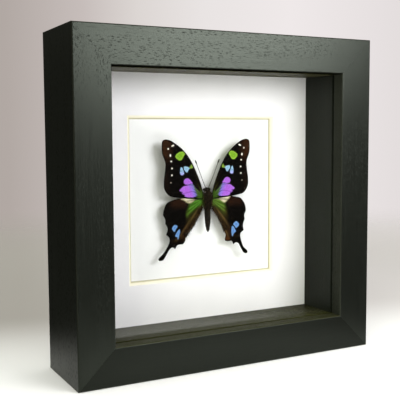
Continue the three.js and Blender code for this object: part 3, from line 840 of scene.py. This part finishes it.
# ---------- body: rings of a height and a half-width, in millimetres from the thorax's middle ----------
THORAX = [(4.2, 1.2), (3.5, 2.1), (2.4, 2.65), (0.8, 2.85), (-1.6, 2.8), (-3.8, 2.35), (-5.4, 1.8)]
RING_WIDTHS = [1.86, 1.92, 1.88, 1.8, 1.68, 1.46, 1.1]
RING_LENGTH = 1.84
TAIL = [(-19.0, 0.55), (-19.6, 0.4), (-19.9, 0.12)]
FLATNESS = 0.9                                     # the trunk is a little shallower than it is wide
HEAD_X = -0.3                                      # the head leans a touch to the left


def trunk():
    """Thorax and ringed abdomen, drawn down from the neck ring by ring."""
    rings = list(THORAX)
    for i, width in enumerate(RING_WIDTHS):
        top = -6 - i * RING_LENGTH
        rings += [(top, 0.9 * width), (top - 0.12 * RING_LENGTH, 0.97 * width), (top - 0.4 * RING_LENGTH, width),
                  (top - 0.88 * RING_LENGTH, 0.99 * width)]
    rings += TAIL
    z, width = rings[0]
    bpy.ops.object.select_all(action="DESELECT")
    bpy.ops.mesh.primitive_circle_add(vertices=20, radius=width * MM, fill_type="NGON", location=(0, 0, z * MM))
    bpy.ops.transform.resize(value=(1, FLATNESS, 1))
    body = take("butterfly")
    bpy.ops.mesh.select_mode(type="FACE")
    bpy.ops.mesh.select_all(action="SELECT")
    for next_z, next_width in rings[1:]:
        bpy.ops.mesh.extrude_region_move(TRANSFORM_OT_translate={"value": (0, 0, (next_z - z) * MM)})
        bpy.ops.transform.resize(value=(next_width / width,) * 2 + (1,), center_override=(0, 0, next_z * MM))
        z, width = next_z, next_width
    return round_off(body, body_shell)


def ball(name, centre, size, shell, squeeze):
    """An egg-shaped part: a ball drawn in towards its front."""
    bpy.ops.object.select_all(action="DESELECT")
    bpy.ops.mesh.primitive_uv_sphere_add(segments=20, ring_count=12, radius=MM, location=Vector(centre) * MM,
                                         scale=size)
    part = take(name)
    pick(part, "FACE", lambda p, n: p.z > centre[2] + size[2] * 0.45)
    bpy.ops.transform.resize(value=(squeeze, squeeze, 1.0), center_override=Vector(centre) * MM)
    return round_off(part, shell)


def stem(name, points, radii, shell):
    """A round stem of changing thickness through a few points."""
    curve = bpy.data.curves.new(name, "CURVE")
    curve.dimensions = "3D"
    curve.bevel_depth = MM
    curve.bevel_resolution = 2
    curve.use_fill_caps = True
    curve.resolution_u = 6
    line = curve.splines.new("NURBS")
    line.points.add(len(points) - 1)
    for point, spot, radius in zip(line.points, points, radii):
        point.co = (*(Vector(spot) * MM), 1)
        point.radius = radius
    line.use_endpoint_u = True
    line.order_u = 3
    only(linked(name, curve))
    bpy.ops.object.convert(target="MESH")
    return close(bpy.context.object, shell, smooth=60)


def antenna(name, tip, flip):
    """A thin straight feeler that thickens into a small club."""
    root = Vector((HEAD_X + 0.7 * flip, -0.7, 5.2))
    tip = Vector(tip)
    bow = (root + tip) / 2 + Vector((0.1 * flip, -0.1, 0))
    points = [root, root.lerp(bow, 0.5), bow, bow.lerp(tip, 0.5), root.lerp(tip, 0.89), root.lerp(tip, 0.94), tip,
              tip + (tip - root).normalized() * 0.7]
    return stem(name, points, [0.17, 0.15, 0.14, 0.14, 0.17, 0.36, 0.42, 0.16], feeler_shell)


def leg(name, root, flip, out):
    """A leg folded under the body, out by so much at its knee."""
    points = [(flip * 1.2, 1.5, root), (flip * (2.3 + out), 2.9, root - 1.4), (flip * (1.7 + out), 3.6, root - 4.2),
              (flip * (1.3 + out), 3.8, root - 6.4)]
    return stem(name, points, [0.24, 0.22, 0.15, 0.08], feeler_shell)


def thorax_hair(count):
    """Hair over the thorax and neck, combed back, thickest at the sides."""
    z = chance.uniform(-6.2, 4.2, count)
    width = np.interp(-z, [-r[0] for r in THORAX] + [6.3], [r[1] for r in THORAX] + [1.8])
    turn = chance.uniform(0, 2 * math.pi, count)
    out = np.stack([np.cos(turn), FLATNESS * np.sin(turn), np.zeros(count)], 1)
    roots = out * width[:, None] * 0.97
    roots[:, 2] = z
    ways = out * 0.7 + chance.normal(0, 0.35, (count, 3)) + np.array([0, 0, -0.7])
    return tuft("thorax_hair", roots, ways, chance.uniform(0.5, 1.5, count), 0.08, (0, 0, -0.2), dark_hair)


def head_hair(count):
    way = chance.normal(0, 1, (count, 3))
    way /= np.linalg.norm(way, axis=1, keepdims=True)
    way[:, 2] = np.abs(way[:, 2])
    roots = np.array([HEAD_X, 0, 4.4]) + way * np.array([1.6, 1.3, 1.1])
    ways = way + chance.normal(0, 0.2, (count, 3))
    return tuft("head_hair", roots, ways, chance.uniform(0.3, 0.75, count), 0.06, (0, 0, 0), dark_hair)


def base_hair(count):
    """Green-tinged hair where the wings meet the thorax."""
    flip = np.where(chance.random(count) < 0.5, -1, 1)
    roots = np.stack([flip * chance.uniform(2.0, 3.0, count), chance.uniform(-1.1, -0.5, count),
                      chance.uniform(-4.6, 2.6, count)], 1)
    ways = np.stack([flip * chance.uniform(0.6, 1.2, count), chance.normal(0.05, 0.1, count),
                     chance.uniform(-0.9, -0.1, count)], 1)
    return tuft("base_hair", roots, ways, chance.uniform(0.7, 1.5, count), 0.07, (0, 0.1, -0.2), green_hair)


parts = [
    trunk(),
    ball("head", (HEAD_X, 0, 4.5), (1.7, 1.4, 1.2), body_shell, 0.85),
    *[ball(f"eye_{s}", (HEAD_X + 1.6 * s, -0.2, 4.8), (0.86, 0.9, 0.92), eye_shell, 0.95) for s in (-1, 1)],
    *[ball(f"palp_{s}", (HEAD_X + 0.38 * s, -0.5, 5.6), (0.24, 0.27, 0.52), body_shell, 0.6) for s in (-1, 1)],
    antenna("feeler_left", (-7.1, -0.6, 21.2), -1), antenna("feeler_right", (7.9, -0.6, 21.2), 1),
    *[leg(f"leg_{i}_{s}", root, s, 0.35 * i) for i, root in enumerate((2.0, 0.0, -2.0)) for s in (-1, 1)],
    thorax_hair(THORAX_HAIRS), head_hair(HEAD_HAIRS), base_hair(BASE_HAIRS),
]
butterfly = joined(parts, "butterfly_whole_body")
butterfly.data.transform(Matrix.Translation(place(SPECIMEN.x, BODY_DEPTH, SPECIMEN.z)) @
                         Matrix.Rotation(-math.radians(BODY_LEAN), 4, "Y"))
stand_for(butterfly, "insect_body", "butterfly_body")

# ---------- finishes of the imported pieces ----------
dressed = {"glass_pane": glass, "mount_board": board_paper, "back_panel": brown_board, "hanger": brassed,
           "hanger_nail_left": brassed, "hanger_nail_right": brassed, "specimen_pin": pin_steel}
dressed.update({f"tab_{i}": zinc_strip for i in range(1, 9)})
for name, look in dressed.items():
    cad[name].data.materials.clear()
    cad[name].data.materials.append(look)

# ---------- floor, light and camera ----------
VIEW_TURN, VIEW_DROP, VIEW_ROLL = 27.6682, 4.9778, -0.3284     # degrees
CAMERA_AT = Vector((-206.178, -375.017, 126.655))
LENS, SENSOR = 68.68, 36
FLOOR_RADIUS, FLOOR_DROP = 1.1, 0.0002             # metres; the floor is a hair below the frame
bpy.ops.object.select_all(action="DESELECT")
bpy.ops.mesh.primitive_circle_add(vertices=96, radius=FLOOR_RADIUS, fill_type="NGON", location=(0, -0.05, -FLOOR_DROP))
floor = bpy.context.object
floor.name = "studio_floor"
bpy.ops.object.transform_apply(location=True)
# White paper, lit in front of the frame, with painted shade behind it that is darker to the left.
paper, put, where = finish("studio_paper_painted_shade")
turned = put("Mapping", where, Rotation=(0, 0, math.radians(15)))
across = put("SeparateXYZ", turned).outputs
# Painted shade: the paper turns grey behind the frame, and that grey is darker to the left.
back = put("MapRange", across["Y"], -0.008, 0.125, interpolation_type="SMOOTHSTEP")
painted_shade_left_to_right = put("MapRange", across["X"], -0.11, 0.2)
shade = put("ValToRGB", painted_shade_left_to_right, stops=[(0, "#a6a29d"), (1, "#c9c5c4")])
tone = put("Mix", back, linear("#f7f7f6"), shade, data_type="RGBA")
# It fades out between two distances, sooner in what the frame mirrors than for the camera and the light.
seen = put("LightPath").outputs
ends = []
for mirrored, spread, shown in ((0.065, 0.3, 0.35), (0.16, 0.6, 0.95)):
    plain = put("MapRange", seen["Is Camera Ray"], 0, 1, spread, shown)
    ends.append(put("MapRange", seen["Is Glossy Ray"], 0, 1, plain, mirrored))
fade = put("MapRange", put("VectorMath", where, operation="LENGTH"), *ends, interpolation_type="SMOOTHSTEP")
dress(paper, tone, 0.9, Specular_IOR_Level=0.1)
floor.data.materials.append(thin(paper, fade))

world = bpy.data.worlds.new("studio")
bpy.context.scene.world = world
world.use_nodes = True
world.node_tree.nodes.clear()
put = partial(add, world.node_tree)
sky = put("SeparateXYZ", put("TexCoord")).outputs
# What the eye sees behind the object: pale grey, brightest behind it, darker to the left.
bearing = put("Math", sky["X"], sky["Y"], operation="ARCTAN2")
turn_share = put("MapRange", bearing, math.radians(8), math.radians(48))
wall = put("ValToRGB", turn_share, stops=[
    (0.0, "#aca49f"), (0.14, "#b1a8a3"), (0.28, "#c6bdba"), (0.38, "#dcd6d3"), (0.5, "#e9e4e3"), (0.66, "#efe9e9"),
    (0.82, "#e6e0e0"), (1.0, "#dad4d3")])
room = put("Mix", put("MapRange", sky["Y"], 0.1, -0.7), wall, linear("#cdc6c3"), data_type="RGBA")
# What lights it besides the lamps: a pale ceiling over dim walls.
lit = put("Background", (1, 1, 0.84, 1), put("MapRange", sky["Z"], 0.1, 0.9, 0.02, 0.5))
put("OutputWorld", put("MixShader", put("LightPath").outputs["Is Camera Ray"], lit, put("Background", room)))


def heading(turn, height):
    """The direction that lies so far right of straight in front and so high, in degrees."""
    turn, height = math.radians(turn), math.radians(height)
    return Vector((math.sin(turn) * math.cos(height), -math.cos(turn) * math.cos(height), math.sin(height)))


def lamp(name, kind, way, energy, colour, distance=1.0, **settings):
    """A soft lamp that shines from its way onto the middle of the object."""
    data = bpy.data.lights.new(name, kind)
    data.energy, data.color = energy, colour
    for key, value in settings.items():
        setattr(data, key, value)
    made = linked(name, data)
    made.location = Vector((0, 0, SIDE / 2 * MM)) + way * distance
    made.rotation_euler = way.to_track_quat("Z", "Y").to_euler()
    return made


# A wide soft lamp near the object gives the shadows and the shine along the top; it isn't mirrored in the pane.
key = lamp("key", "AREA", heading(24, 22), 1.4, (0.985, 0.985, 1), distance=0.4, shape="ELLIPSE", size=0.3,
           size_y=0.18)
key.data.cycles.use_multiple_importance_sampling = False
# Three broad fills light every side evenly and aren't mirrored: name, direction, energy, colour and spread.
for name, way, energy, colour, spread in (("window", (-54, 11), 1.8, (0.97, 1, 0.8), 42),
                                          ("front", (-6, 6), 0.2, (0.97, 1, 0.78), 40),
                                          ("ceiling", (0, 86), 1.9, (0.98, 0.98, 1), 50)):
    broad = lamp(name, "SUN", heading(*way), energy, colour, angle=math.radians(spread))
    broad.visible_glossy = broad.visible_transmission = False

camera = linked("camera", bpy.data.cameras.new("camera"))
camera.data.lens, camera.data.sensor_width = LENS, SENSOR
camera.data.clip_start, camera.data.clip_end = 0.01, 20
level = heading(-VIEW_TURN, VIEW_DROP).to_track_quat("Z", "Y").to_matrix().to_4x4()
camera.matrix_world = (Matrix.Translation(CAMERA_AT * MM) @ level @
                       Matrix.Rotation(math.radians(VIEW_ROLL), 4, "Z"))
bpy.context.scene.camera = camera
bpy.context.scene.view_settings.view_transform = "Standard"
